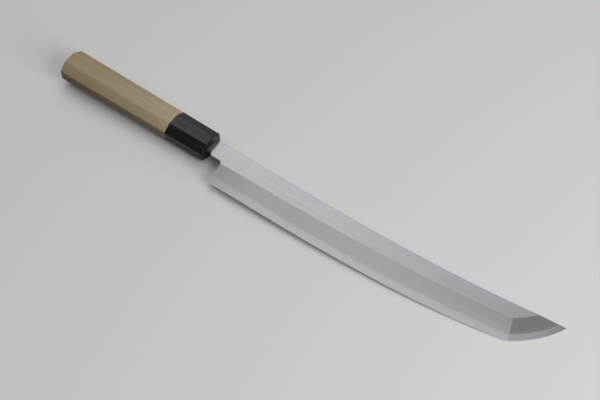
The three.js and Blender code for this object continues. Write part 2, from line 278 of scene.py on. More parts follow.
class KnifeHandleSizes(bpy.types.PropertyGroup):
    """Sizes of the ferrule, the wood and the seal."""

    wood_length: length("Wood length", 112.5, "Shoulder to butt rim")
    ferrule_length: length("Ferrule length", 38, "Front face to shoulder")
    butt_height: length("Butt height", 27.9, "Spine side to edge side at the butt")
    butt_width: length("Butt width", 21.1, "Left to right at the butt")
    butt_side_flat: length("Butt side flat", 11.6, "Right and left facets at the butt")
    butt_spine_flat: length("Butt spine flat", 10, "Spine and edge facets at the butt")
    front_height: length("Front height", 25.2, "Spine side to edge side at the front")
    front_width: length("Front width", 18.7, "Left to right at the front")
    front_side_flat: length("Front side flat", 9.9, "Right and left facets at the front")
    front_spine_flat: length("Front spine flat", 8.9, "Spine and edge facets at the front")
    butt_dome: length("Butt dome", 1.5, "How far the butt stands out of its rim")
    butt_ease: length("Butt ease", 1.1, "Width of the eased rim at the butt")
    front_ease: length("Front ease", 0.2, "Width of the eased rim at the ferrule's front")
    foot_inset: length("Foot inset", 0.5, "Front face to the corner that the ferrule rests on")
    joint_ease: length("Joint ease", 0.12, "Width of the eased rims where wood meets horn")
    tenon_diameter: length("Tenon diameter", 14, "Round tenon of the wood")
    tenon_clearance: length("Tenon clearance", 0.15, "Round the tenon in its bore")
    bore_depth: length("Bore depth", 24, "Blind bore in the back of the ferrule")
    tenon_end_gap: length("Tenon end gap", 0.6, "End of the tenon to the end of its bore")
    glue_line: length("Glue line", 0.05, "Between shoulder and ferrule")
    tang_clearance: length("Tang clearance", 0.3, "Round the tang in the wood")
    tang_end_gap: length("Tang end gap", 3, "End of the tang to the end of its slot")
    slot_clearance: length("Slot clearance", 1.2, "Round the tang in the ferrule")
    seal_depth: length("Seal depth", 5, "Front face to the bottom of the seal")
    seal_recess: length("Seal recess", 0.3, "Front face to the seal")
    seal_gap: length("Seal gap", 0.05, "Resin to tang and to slot")
    horn_crispness: FloatProperty(
        name="Horn crispness", description="Higher is a sharper octagon", default=150.0, min=8.0
    )
    wood_crispness: FloatProperty(
        name="Wood crispness", description="Higher is a sharper octagon", default=28.0, min=8.0
    )


class KnifeFinishes(bpy.types.PropertyGroup):
    """Colours of the surfaces."""

    flat: colour("Flat", (0.366, 0.365, 0.386), "Satin iron of the flat")
    bevel: colour("Long bevel", (0.428, 0.426, 0.45), "Hazy iron of the long bevel")
    steel: colour("Long steel", (0.525, 0.523, 0.542), "Steel band along the long edge")
    # The point's iron and steel are coloured much darker than those of the long bevel: painted shade for the
    # lesser light that the cross-polished point mirrors.
    point: colour("Point bevel", (0.25, 0.25, 0.26), "Darker hazy iron of the point's bevel")
    point_steel: colour("Point steel", (0.42, 0.42, 0.43), "Steel band round the point")
    # The honed strip's pale, warm colour is a painted glint: it stands in for the bright line that light
    # makes along the edge.
    honed: colour("Honed edge", (0.9, 0.88, 0.84), "Honed strip of the edge")
    back: colour("Back", (0.5, 0.505, 0.51), "Hollow-ground back")
    tang: colour("Tang", (0.21, 0.183, 0.165), "Forge-brown tang")
    horn: colour("Horn", (0.012, 0.0112, 0.0108), "Polished black horn")
    wood: colour("Wood", (0.385, 0.298, 0.175), "Pale straight-grained wood at the butt")
    # The wood is coloured paler next to the ferrule than at the butt.
    pale_wood: colour("Pale wood", (0.468, 0.373, 0.242), "The same wood next to the ferrule, lighter in tone")
    resin: colour("Resin", (0.05, 0.03, 0.018), "Resin round the tang")


class KnifeStage(bpy.types.PropertyGroup):
    """Camera, floor and lamps."""

    azimuth: angle("Azimuth", 34.851, "Camera's turn about the vertical")
    elevation: angle("Elevation", 56.307, "Camera's height over the table")
    distance: length("Distance", 879.338, "Camera to what it looks at")
    target_x: length("Target X", 4.302, "X of what the camera looks at")
    target_y: length("Target Y", 6.322, "Y of what the camera looks at")
    lens: FloatProperty(
        name="Lens", description="Focal length on a 36 mm sensor", default=65.425, unit="CAMERA"
    )
    floor: colour("Floor", (0.8, 0.797, 0.79), "Plain pale floor")
    floor_bounce: share("Floor bounce", 0.1, "Share of the floor's colour that it throws back at the knife")
    key_level: share("Key level", 0.85, "Brightness of the soft lamp that the flat mirrors")
    fill_level: share("Fill level", 3.9, "Brightness of the soft lamp on the tip's side")
    dome_level: share("Dome level", 0.9, "Brightness of the soft surroundings at their brightest")
    dome_floor: share("Dome floor", 0.05, "Brightness of the surroundings at their darkest")
    backdrop: share("Backdrop", 0.55, "Brightness of the surroundings where the camera sees them")


def lerp(start, end, part):
    """The value a part of the way from start to end."""
    return start + (end - start) * part


def clamp(value):
    """A share held between nought and one."""
    return min(1.0, max(0.0, value))


def around(middle, play):
    """The range that lies on both sides of a value."""
    return middle - play, middle + play


def meeting(gap, low, high):
    """Where a gap that changes its sign between low and high is nought."""
    sign = gap(low) > 0
    for _ in range(HALVINGS):
        middle = (low + high) / 2
        if (gap(middle) > 0) == sign:
            low = middle
        else:
            high = middle
    return (low + high) / 2


class RibPoint(NamedTuple):
    """One place on a rib across the blade: its plan, heights above the back plane, and share up the bevel."""

    x: float
    y: float
    top: float
    weld: float
    back: float
    rise: float


class BladeCurves:
    """The blade's outline and heights, seen from its right side."""

    def __init__(self, sizes):
        self.sizes = sizes
        self.heel_x = sizes.heel_setback
        self.tip_x = self.heel_x + sizes.blade_length
        self.corner_x = self.tip_x - sizes.point_length
        self.edge_curve_x = self.heel_x + sizes.edge_straight
        self.spine_curve_x = self.heel_x + sizes.spine_straight
        self.back_z = -sizes.heel_thickness / 2
        corner = Vector((self.corner_x, self.edge_y(self.corner_x)))
        tip = self.spine_place(self.tip_x)
        chord = tip - corner
        self.radius = ((chord.length / 2) ** 2 + sizes.point_bulge**2) / (2 * sizes.point_bulge)
        inward = Vector((-chord.y, chord.x)).normalized()
        self.centre = (corner + tip) / 2 + inward * (self.radius - sizes.point_bulge)
        self.corner_angle = self.angle_of(corner)
        self.tip_angle = self.angle_of(tip)
        self.cross_angle = self.corner_angle + sizes.cross_lead / self.radius
        self.cross_end = self.polar(self.radius, self.cross_angle)
        self.inner = self.radius - sizes.point_bevel
        search_x = self.corner_x - RIDGE_SEARCH
        self.ridge_turn_x = self.crossing(self.ridge_y, self.inner, search_x, self.corner_x)
        ridge_turn = self.angle_of(self.ridge_place(self.ridge_turn_x))
        self.ridge_end = self.polar(self.inner, ridge_turn + sizes.ridge_lead / self.inner)
        self.spine_ridge_x = self.spine_at(self.inner)
        self.point_share = self.weld_share(self.corner_x)
        self.spine_weld_x = self.spine_at(self.radius - sizes.point_bevel * self.point_share)
        self.cone_height = self.thickness(self.spine_ridge_x)

    def edge_y(self, x):
        """Cutting edge between heel and point corner."""
        run = max(0.0, (x - self.edge_curve_x) / (self.corner_x - self.edge_curve_x))
        return self.sizes.edge_rise * run**RISE_POWER - self.sizes.heel_drop

    def edge_place(self, x):
        """Place on the outline's edge side, on the point's arc once past the corner."""
        return Vector((x, self.edge_y(x))) if x <= self.corner_x else self.arc_place(x, self.radius)

    def spine_y(self, x):
        """Spine from neck to tip."""
        run = max(0.0, (x - self.spine_curve_x) / (self.tip_x - self.spine_curve_x))
        return self.sizes.spine_height + self.sizes.spine_rise * run**RISE_POWER

    def spine_place(self, x):
        """Place on the spine."""
        return Vector((x, self.spine_y(x)))

    def along(self, x, at_heel, at_corner):
        """A size that changes evenly from heel to point corner and is carried on."""
        return lerp(at_heel, at_corner, max(0.0, (x - self.heel_x) / (self.corner_x - self.heel_x)))

    def ridge_y(self, x):
        """Ridge between flat and long bevel."""
        return self.spine_y(x) - self.along(x, self.sizes.heel_flat, self.sizes.point_flat)

    def ridge_place(self, x):
        """Place on the ridge, which turns up round the point's bevel at its end."""
        return Vector((x, self.ridge_y(x))) if x <= self.ridge_turn_x else self.arc_place(x, self.inner)

    def thickness(self, x):
        """Height of the flat above the back plane."""
        return self.along(x, self.sizes.heel_thickness, self.sizes.point_thickness)

    def weld(self, x):
        """Height of the weld between steel and iron."""
        return self.along(min(x, self.corner_x), self.sizes.heel_steel, self.sizes.point_steel)

    def weld_share(self, x):
        """Share up the bevel at which the weld comes out."""
        land = self.sizes.edge_land
        return (self.weld(x) - land) / (self.thickness(x) - land)

    @staticmethod
    def weld_wave(x):
        """Slight unevenness of the forged weld line, as a share of its place."""
        return sum(part * math.sin(2 * math.pi * x / wave + start) for part, wave, start in WELD_WAVES)

    def out(self, place):
        """Distance from the middle of the point's arc."""
        return (place - self.centre).length

    def angle_of(self, place):
        """Angle of a place about the middle of the point's arc."""
        return math.atan2(place.y - self.centre.y, place.x - self.centre.x)

    def polar(self, radius, turn):
        """A place about the middle of the point's arc."""
        return self.centre + Vector((math.cos(turn), math.sin(turn))) * radius

    def arc_place(self, x, radius):
        """Place on the lower side of a circle about the middle of the point's arc."""
        return Vector((x, self.centre.y - math.sqrt(radius**2 - (x - self.centre.x) ** 2)))

    def crossing(self, height, radius, low, high):
        """X at which a curve crosses a circle about the middle of the point's arc."""
        return meeting(lambda x: self.out(Vector((x, height(x)))) - radius, low, high)

    def spine_at(self, radius):
        """X at which the spine crosses such a circle."""
        return self.crossing(self.spine_y, radius, self.corner_x - SPINE_SEARCH, self.tip_x)

    def top_rise(self, turn):
        """Share up the point's bevel at which the spine cuts it off, at an angle about its arc's middle."""

        def gap(out):
            place = self.polar(out, turn)
            return place.y - self.spine_y(place.x)

        spine_out = meeting(gap, self.inner - CONE_SEARCH, self.radius + CONE_SEARCH)
        return max(0.0, (self.radius - spine_out) / self.sizes.point_bevel)

    def fillet_place(self, turn):
        """Place on the hollow between neck (0) and heel line (1)."""
        sizes = self.sizes
        x = self.heel_x + sizes.heel_lean - sizes.heel_fillet * (1 - turn) ** 2
        return Vector((x, -sizes.neck_depth - sizes.heel_fillet * turn**2))

    def fillet_turn(self, y):
        """How far round that hollow a height is."""
        return math.sqrt((-self.sizes.neck_depth - y) / self.sizes.heel_fillet)

    def heel_place(self, y):
        """Place on the heel's outline, on the straight heel line or the hollow above it."""
        corner = Vector((self.heel_x, -self.sizes.heel_drop))
        line_end = self.fillet_place(1.0)
        if y > line_end.y:
            return self.fillet_place(self.fillet_turn(y))
        return corner.lerp(line_end, (y - corner.y) / (line_end.y - corner.y))

    def hollow(self, place):
        """Height of the hollow back above the back plane."""
        sizes = self.sizes
        start = self.heel_x + sizes.hollow_heel
        end = self.corner_x - sizes.hollow_point
        run = 2 * (place.x - start) / (end - start) - 1
        middle = (self.spine_y(place.x) + self.edge_y(place.x)) / 2
        half = (self.spine_y(place.x) - self.edge_y(place.x)) / 2 - sizes.hollow_rim
        across = (place.y - middle) / half
        return max(0.0, sizes.hollow_depth * (1 - across**2 - run**HOLLOW_POWER))

    def along_tang(self, x, at_shoulders, at_end):
        """A size that changes evenly from the shoulders to the end of the tang."""
        run = (self.sizes.neck_start - x) / (self.sizes.neck_start + self.sizes.tang_length)
        return lerp(at_shoulders, at_end, run)

    def tang_height(self, x):
        """Height of the tang."""
        return self.along_tang(x, self.sizes.tang_height, self.sizes.tang_end_height)

    def tang_thickness(self, x):
        """Thickness of the tang."""
        return self.along_tang(x, self.sizes.tang_thickness, self.sizes.tang_end_thickness)

    def ramp(self, x):
        """Share of the way from the tang's thickness to the neck's, without a step."""
        run = clamp((x - self.sizes.ramp_start) / (self.sizes.ramp_end - self.sizes.ramp_start))
        return run * run * (3 - 2 * run)

    def bevel_slope(self, x, width):
        """Fall of a bevel for each metre across it."""
        return (self.thickness(x) - self.sizes.edge_land) / width

    def bevel_height(self, rise, ridge_height):
        """Height of a bevel a share of the way up from the edge; the honed edge itself is thinner."""
        if rise <= 0:
            return self.sizes.edge_tip
        return lerp(self.sizes.edge_land, ridge_height, rise)


def eased_places(spine, ridge, ease, ridge_ease):
    """Places across the flat from spine to ridge, closer together near both."""
    reach = (ridge - spine).length
    if reach < STEP_GAP:
        return [spine] * (RIDGE_ROW + 1)
    near = [inset * ease / reach for inset, _ in SPINE_ROWS]
    far = [1 - ridge_ease / reach * step / RIDGE_STEPS for step in range(RIDGE_STEPS, -1, -1)]
    middle = [lerp(near[-1], far[0], step / FLAT_STEPS) for step in range(1, FLAT_STEPS)]
    return [spine.lerp(ridge, part) for part in near + middle + far]


def spine_drop(row, ease):
    """How far a row is eased down next to the spine."""
    return ease * SPINE_ROWS[row][1] if row < len(SPINE_ROWS) else 0.0


def ridge_drop(row, fall):
    """How far a row is eased down on either side of the ridge, by a parabola that touches flat and bevel.

    The fall is that of the bevel over the ease of its ridge.
    """
    inward = max(0.0, 1 - abs(row - RIDGE_ROW) / RIDGE_STEPS)
    return fall * inward**2 / 4


def corner_drop(row, ease):
    """How far a row is rounded down next to the neck's lower edge."""
    inward = max(0.0, 1 - (RIDGE_ROW - row) / RIDGE_STEPS)
    return ease * (1 - math.sqrt(1 - inward**2))


def neck_stations(curves):
    """Where the ribs of tang and neck stand, each with its X, its upper and its lower end."""
    sizes = curves.sizes
    hidden = [lerp(-sizes.tang_length, TANG_SHOWN, step / HIDDEN_STEPS) for step in range(HIDDEN_STEPS + 1)]
    shown = [lerp(TANG_SHOWN, sizes.neck_start, step / RAMP_STEPS) for step in range(1, RAMP_STEPS + 1)]
    stations = []
    for x in hidden + shown:
        half = curves.tang_height(x) / 2
        stations.append((x, sizes.tang_offset + half, sizes.tang_offset - half))
    _, tang_top, tang_low = stations[-1]
    for step in range(1, SHOULDER_STEPS + 1):
        run = math.sin(step / SHOULDER_STEPS * math.pi / 2)
        x = lerp(sizes.neck_start, sizes.neck_start + sizes.neck_shoulder, step / SHOULDER_STEPS)
        stations.append((x, lerp(tang_top, sizes.spine_height, run), lerp(tang_low, -sizes.neck_depth, run)))
    fillet_start = curves.fillet_place(0.0).x
    for x in (sizes.steel_start - STEP_GAP, sizes.steel_start + STEP_GAP, NECK_RIB, fillet_start):
        stations.append((x, sizes.spine_height, -sizes.neck_depth))
    ridge_turn = curves.fillet_turn(curves.ridge_y(curves.heel_x))
    for step in range(1, FILLET_STEPS + 1):
        place = curves.fillet_place(ridge_turn * step / FILLET_STEPS)
        stations.append((place.x, curves.spine_y(place.x), place.y))
    return stations


def neck_ribs(curves):
    """Ribs of the tang and the neck, from the tang's end to where the ridge starts on the heel fillet."""
    sizes = curves.sizes
    middle = sizes.heel_thickness / 2
    fillet_start = curves.fillet_place(0.0).x
    bevel_width = curves.ridge_y(curves.heel_x) + sizes.heel_drop
    fall = curves.bevel_slope(curves.heel_x, bevel_width) * sizes.ridge_ease
    ribs = []
    for x, upper, lower in neck_stations(curves):
        half = lerp(curves.tang_thickness(min(x, sizes.neck_start)) / 2, middle, curves.ramp(x))
        ridge_part = clamp((x - fillet_start) / (FILLET_FADE * sizes.heel_fillet))
        places = eased_places(Vector((x, upper)), Vector((x, lower)), sizes.eased_edge, sizes.ridge_ease)
        rib = []
        for row, place in enumerate(places):
            round_part = corner_drop(row, sizes.ridge_ease) * (1 - ridge_part)
            drop = spine_drop(row, sizes.eased_edge) + round_part
            top = middle + half - drop - ridge_drop(row, fall) * ridge_part
            back = middle - half + drop
            weld = curves.weld(x) if x > sizes.steel_start else back
            rib.append(RibPoint(place.x, place.y, top, weld, back, 1.0))
        ribs.append(rib)
    return ribs


def flat_rib(curves, spine, ridge, eases, fall, hollow):
    """The rows of a rib across the flat. The eases are those of spine and ridge."""
    rib = []
    for row, place in enumerate(eased_places(spine, ridge, *eases)):
        drop = spine_drop(row, eases[0])
        height = curves.thickness(place.x) - drop - ridge_drop(row, fall)
        back = max(curves.hollow(place), drop) if hollow else drop
        rib.append(RibPoint(place.x, place.y, height, curves.weld(place.x), back, 1.0))
    return rib


def bevel_rises(top, weld, honed, ease):
    """Shares of the rise for the rows below the ridge, from its eased part to the edge."""
    eased = [top - ease * step / RIDGE_STEPS for step in range(1, RIDGE_STEPS + 1)]
    iron = [lerp(top - ease, weld, step / BEVEL_STEPS) for step in range(1, BEVEL_STEPS + 1)]
    steel = [lerp(weld, honed, step / STEEL_STEPS) for step in range(1, STEEL_STEPS + 1)]
    return eased + iron + steel + [0.0]


def add_bevel(curves, rib, rises, weld_rise, place_at, ridge_height, fall):
    """Adds the bevel's rows to a rib."""
    for rise in rises:
        place = place_at(rise)
        top = curves.bevel_height(rise, ridge_height) - ridge_drop(len(rib), fall)
        weld = curves.weld(place.x) if rise > weld_rise + SAME_SHARE else top
        back = curves.hollow(place) if place.x < curves.corner_x else 0.0
        rib.append(RibPoint(place.x, place.y, top, min(weld, top), min(back, HOLLOW_LIMIT * top), rise))


def long_rib(curves, start, run):
    """A rib of the long bevel, a share of the way from the heel line to the point's cross ridge."""
    sizes = curves.sizes
    x = lerp(start.x, curves.ridge_end.x, run)
    ridge = curves.ridge_place(x) if run else start
    edge = curves.edge_place(lerp(curves.heel_x, curves.cross_end.x, run))
    width = (ridge - edge).length
    fall = curves.bevel_slope(ridge.x, width) * sizes.ridge_ease
    weld_rise = curves.weld_share(x) * (1 + curves.weld_wave(x))
    rises = bevel_rises(1.0, weld_rise, sizes.honed_width / width, sizes.ridge_ease / width)

    def place_at(rise):
        return edge.lerp(ridge, rise) if run else curves.heel_place(lerp(-sizes.heel_drop, ridge.y, rise))

    rib = flat_rib(curves, curves.spine_place(x), ridge, (sizes.eased_edge, sizes.ridge_ease), fall, True)
    add_bevel(curves, rib, rises, weld_rise, place_at, curves.thickness(ridge.x), fall)
    return rib


def wide_point_rib(curves, flat_end, run):
    """A rib of the point, a share of the way from its cross ridge to the angle at which its flat ends."""
    sizes = curves.sizes
    turn_in = lerp(curves.angle_of(curves.ridge_end), flat_end, run)
    turn_out = lerp(curves.cross_angle, flat_end, run)
    spine = curves.spine_place(lerp(curves.ridge_end.x, curves.spine_ridge_x, run))
    ridge = curves.polar(curves.inner, turn_in) if run < 1 else spine
    spare = EASE_LIMIT * (spine - ridge).length
    ease = min(sizes.eased_edge, spare)
    ridge_ease = min(sizes.ridge_ease, spare)
    fall = curves.bevel_slope(ridge.x, sizes.point_bevel) * ridge_ease
    wave = lerp(1.0, WAVES_LEFT, run) * curves.weld_wave(curves.corner_x + run * POINT_WAVES)
    weld_rise = curves.point_share * (1 + wave)
    honed = sizes.honed_width / sizes.point_bevel
    rises = bevel_rises(1.0, weld_rise, honed, ridge_ease / sizes.point_bevel)

    def place_at(rise):
        return curves.polar(curves.radius - sizes.point_bevel * rise, lerp(turn_out, turn_in, rise))

    rib = flat_rib(curves, spine, ridge, (ease, ridge_ease), fall, False)
    add_bevel(curves, rib, rises, weld_rise, place_at, curves.thickness(ridge.x), fall)
    return rib


def cone_rib(curves, turn, top_rise, run, waves):
    """A rib of the point where it has no flat, at an angle about the middle of its arc.

    The top rise is where the spine cuts its bevel off, and the run is its share of the way along its stretch.
    The waves are the share left of those in the weld line.
    """
    sizes = curves.sizes
    wave = waves * curves.weld_wave(curves.corner_x + POINT_WAVES)
    weld_rise = min(top_rise, curves.point_share * (1 + wave))
    spare = (top_rise - weld_rise) * sizes.point_bevel
    ease = min(sizes.eased_edge, EASE_LIMIT * spare, EASE_GROWTH * run)

    def place_at(rise):
        return curves.polar(curves.radius - sizes.point_bevel * rise, turn)

    rib = []
    for row in range(RIDGE_ROW + 1):
        inset, drop = SPINE_ROWS[min(row, len(SPINE_ROWS) - 1)]
        rise = top_rise - inset * ease / sizes.point_bevel
        height = curves.bevel_height(rise, curves.cone_height) - CONE_DROP * drop * ease
        place = place_at(rise)
        rib.append(RibPoint(place.x, place.y, height, min(curves.weld(place.x), height), 0.0, rise))
    honed = min(sizes.honed_width / sizes.point_bevel, HONED_LIMIT * weld_rise)
    rises = bevel_rises(rib[-1].rise, weld_rise, honed, 0.0)
    add_bevel(curves, rib, rises, weld_rise, place_at, curves.cone_height, 0.0)
    return rib


def blade_ribs(curves, neck_end):
    """Ribs from the heel line to the tip. The point has a flat at first, then iron only, then steel only."""
    start = Vector((neck_end.x, neck_end.y))
    flat_end = curves.angle_of(curves.spine_place(curves.spine_ridge_x))
    iron_end = curves.angle_of(curves.spine_place(curves.spine_weld_x))
    ribs = [long_rib(curves, start, step / LONG_STEPS) for step in range(LONG_STEPS + 1)]
    runs = [step / POINT_STEPS for step in range(1, POINT_STEPS + 1)]
    ribs += [wide_point_rib(curves, flat_end, run) for run in runs]
    for run in runs:
        turn = lerp(flat_end, iron_end, run)
        ribs.append(cone_rib(curves, turn, curves.top_rise(turn), run, WAVES_LEFT * (1 - run)))
    for run in runs:
        turn = lerp(iron_end, curves.tip_angle, run)
        ribs.append(cone_rib(curves, turn, curves.top_rise(turn) if run < 1 else 0.0, run, 0.0))
    return ribs


class Slab:
    """A closed solid between two heights over cells in plan. Walls stand where a cell has no neighbour."""

    def __init__(self, curves, heights):
        self.curves = curves
        self.heights = heights  # gives the upper and lower height of a rib's point and row
        self.mesh = bmesh.new()
        self.grain = self.mesh.loops.layers.uv.new("grain")
        self.rise = self.mesh.loops.layers.uv.new("rise")
        self.tops = {}
        self.bottoms = {}
        self.patterns = {}
        self.sides = {}  # pairs of corners, in the order in which they were made

    def corner(self, point, top, bottom):
        """Key of a place in plan, with its corners made on first use."""
        key = (round(point.x / MM, PLAN_DIGITS), round(point.y / MM, PLAN_DIGITS))
        if key not in self.tops:
            self.tops[key] = self.mesh.verts.new((point.x, point.y, top))
            same = top - bottom < SAME_HEIGHT
            self.bottoms[key] = self.tops[key] if same else self.mesh.verts.new((point.x, point.y, bottom))
            self.patterns[key] = (point.x, point.y - self.curves.spine_y(point.x), point.rise)
        return key

    def face(self, corners, keys, material):
        """A face with its patterns; corners that fall together are dropped."""
        ring = tuple(dict.fromkeys(corners))
        if len(ring) < 3 or self.mesh.faces.get(ring):
            return
        made = self.mesh.faces.new(ring)
        made.material_index = material
        by_corner = dict(zip(corners, keys))
        for loop in made.loops:
            x, down, rise = self.patterns[by_corner[loop.vert]]
            loop[self.grain].uv = (x, down)
            loop[self.rise].uv = (x, rise)

    def cell(self, points, heights, material, under):
        """A four-sided cell, its points going round with the bevelled side up. Thin cells are left out."""
        if max(top - bottom for top, bottom in heights) < THIN_CELL:
            return
        keys = list(dict.fromkeys(self.corner(point, *height) for point, height in zip(points, heights)))
        if len(keys) < 3:
            return
        turned = keys[::-1]
        self.face([self.tops[key] for key in keys], keys, material)
        self.face([self.bottoms[key] for key in turned], turned, under)
        self.sides.update(dict.fromkeys(zip(keys, keys[1:] + keys[:1])))

    def strip(self, first, second, rows, material, under):
        """The cells between two ribs from one row to another."""
        for row in range(*rows):
            corners = ((first, row), (first, row + 1), (second, row + 1), (second, row))
            points = [rib[at] for rib, at in corners]
            self.cell(points, [self.heights(rib[at], at) for rib, at in corners], material, under)

    def walls(self, ground, unground):
        """Closes the solid round its outline, with another finish on the sides of tang and neck."""
        for key, following in list(self.sides):
            if (following, key) in self.sides:
                continue
            ring = [self.tops[key], self.bottoms[key], self.bottoms[following], self.tops[following]]
            on_neck = max(key[0], following[0]) * MM < self.curves.heel_x
            self.face(ring, [key, key, following, following], unground if on_neck else ground)

    def finish(self, name, matrix, materials):
        """The solid as an object where the knife lies."""
        spare = [corner for corner in self.mesh.verts if not corner.link_faces]
        bmesh.ops.delete(self.mesh, geom=spare, context="VERTS")
        self.mesh.transform(matrix)
        return object_of(name, self.mesh, materials)


def shade(mesh, crease):
    """Smooths a bmesh but for edges that turn more than the crease."""
    mesh.normal_update()
    for face in mesh.faces:
        face.smooth = True
    for edge in mesh.edges:
        edge.smooth = edge.is_manifold and edge.calc_face_angle(0.0) < crease


def object_of(name, mesh, materials=()):
    """An object from a bmesh, shaded as the blade is."""
    shade(mesh, BLADE_CREASE)
    data = bpy.data.meshes.new(name)
    mesh.to_mesh(data)
    mesh.free()
    for material in materials:
        data.materials.append(material)
    made = bpy.data.objects.new(name, data)
    bpy.context.scene.collection.objects.link(made)
    return made


def handle_growth(handle, size):
    """How much a size of the handle grows for each metre towards the butt."""
    front = getattr(handle, "front_" + size)
    return (getattr(handle, "butt_" + size) - front) / (handle.ferrule_length + handle.wood_length)


def knife_to_table(curves, handle):
    """How the knife lies: it bears on the ferrule's lower corner and on one place of the point's arc."""
    turn = lerp(curves.corner_angle, curves.tip_angle, curves.sizes.bearing_share)
    foot = Vector((
        -handle.foot_inset,
        -(handle.front_side_flat + handle_growth(handle, "side_flat") * handle.foot_inset) / 2,
        -(handle.front_width + handle_growth(handle, "width") * handle.foot_inset) / 2,
    ))
    rest = curves.polar(curves.radius, turn)
    bearing = Vector((rest.x, rest.y, curves.back_z))
    tangent = Vector((-math.sin(turn), math.cos(turn), 0.0))
    up = (bearing - foot).cross(tangent).normalized()
    ahead = Vector((1.0, 0.0, 0.0))
    ahead = (ahead - up * ahead.dot(up)).normalized()
    turned = Matrix((ahead, up.cross(ahead), up))
    tip = turned @ Vector((curves.tip_x, curves.spine_y(curves.tip_x), curves.back_z))
    high = CAD_BOX[1]
    shift = Vector((high.x - tip.x, high.y - tip.y, -(turned @ foot).z))
    return Matrix.Translation(shift) @ turned.to_4x4()


class Nodes:
    """Short ways to add nodes to a tree and wire them."""

    def __init__(self, tree):
        self.tree = tree

    def add(self, kind, values=None, **settings):
        """A node with its settings, and its inputs given by name or place."""
        node = self.tree.nodes.new(kind)
        for name, value in settings.items():
            setattr(node, name, value)
        for name, value in (values or {}).items():
            self.give(node.inputs[name], value)
        return node

    def give(self, socket, value):
        """Wires a socket to an output, or sets it to a number, colour or vector."""
        if isinstance(value, bpy.types.NodeSocket):
            self.tree.links.new(value, socket)
        else:
            socket.default_value = value

    def reckon(self, operation, *values):
        """The result of a Math node."""
        return self.add("ShaderNodeMath", dict(enumerate(values)), operation=operation).outputs[0]

    def plus(self, first, second):
        """Two values added."""
        return self.reckon("ADD", first, second)

    def minus(self, first, second):
        """The second value taken from the first."""
        return self.reckon("SUBTRACT", first, second)

    def times(self, first, second):
        """Two values multiplied."""
        return self.reckon("MULTIPLY", first, second)

    def over(self, first, second):
        """The first value divided by the second."""
        return self.reckon("DIVIDE", first, second)

    def most(self, first, second):
        """The greater of two values."""
        return self.reckon("MAXIMUM", first, second)


def octagon_tree():
    """Geometry Nodes for a tapered octagonal bar along X, whose butt may be cut by a ball."""
    tree = bpy.data.node_groups.new(OCTAGON, "GeometryNodeTree")
    tree.interface.new_socket("Geometry", in_out="OUTPUT", socket_type="NodeSocketGeometry")
    numbers = ["Back X", "Front X", "Crispness", "Dome X", "Dome radius"]
    for name in SECTION:
        numbers += [name, name + " growth"]
    for name in numbers:
        tree.interface.new_socket(name, in_out="INPUT", socket_type="NodeSocketFloat")
    tree.interface.new_socket("Material", in_out="INPUT", socket_type="NodeSocketMaterial")
    nodes = Nodes(tree)
    plus, minus, times, over, most = nodes.plus, nodes.minus, nodes.times, nodes.over, nodes.most
    given = nodes.add("NodeGroupInput").outputs
    round_bar = nodes.add(
        "GeometryNodeMeshCylinder",
        {"Vertices": AROUND, "Side Segments": ALONG, "Fill Segments": CAP_RINGS, "Radius": 1.0, "Depth": 1.0},
        fill_type="NGON",
    )
    position = nodes.add("GeometryNodeInputPosition").outputs["Position"]
    across, up, run = nodes.add("ShaderNodeSeparateXYZ", {"Vector": position}).outputs
    out = most(nodes.reckon("SQRT", plus(times(across, across), times(up, up))), LEAST_OUT)
    along_height = nodes.reckon("ABSOLUTE", over(across, out))
    along_width = nodes.reckon("ABSOLUTE", over(up, out))
    plain_x = plus(times(minus(given["Front X"], given["Back X"]), plus(run, 0.5)), given["Back X"])
    half_height, half_width, half_side, half_spine = (
        times(0.5, minus(given[name], times(plain_x, given[name + " growth"]))) for name in SECTION
    )
    lean_height = minus(half_width, half_spine)
    lean_width = minus(half_height, half_side)
    reach = plus(times(lean_height, half_height), times(lean_width, half_spine))
    slant = plus(times(lean_height, along_height), times(lean_width, along_width))
    faces = (over(along_height, half_height), over(along_width, half_width), over(slant, reach))
    nearest = most(most(faces[0], faces[1]), faces[2])
    powers = [nodes.reckon("POWER", over(face, nearest), given["Crispness"]) for face in faces]
    total = plus(plus(powers[0], powers[1]), powers[2])
    rounding = nodes.reckon("POWER", total, over(1.0, given["Crispness"]))
    scale = over(1.0, times(nearest, rounding))
    y = times(across, scale)
    z = times(up, scale)
    spread = plus(times(y, y), times(z, z))
    square = times(given["Dome radius"], given["Dome radius"])
    ball = minus(given["Dome radius"], nodes.reckon("SQRT", minus(square, spread)))
    x = most(plain_x, plus(given["Dome X"], ball))
    place = nodes.add("ShaderNodeCombineXYZ", {"X": x, "Y": y, "Z": z}).outputs["Vector"]
    shaped = nodes.add("GeometryNodeSetPosition", {"Geometry": round_bar.outputs["Mesh"], "Position": place})
    real = nodes.add("GeometryNodeRealizeInstances", {"Geometry": shaped.outputs["Geometry"]})
    coloured = nodes.add(
        "GeometryNodeSetMaterial", {"Geometry": real.outputs["Geometry"], "Material": given["Material"]}
    )
    nodes.add("NodeGroupOutput", {"Geometry": coloured.outputs["Geometry"]})
    return tree


def evaluated_mesh(made):
    """The mesh of an object with its modifiers worked out."""
    found = bpy.context.evaluated_depsgraph_get()
    return bpy.data.meshes.new_from_object(made.evaluated_get(found))


def one_material(made, material):
    """Gives every face of a piece the same material."""
    made.data.materials.clear()
    made.data.materials.append(material)
    for face in made.data.polygons:
        face.material_index = 0


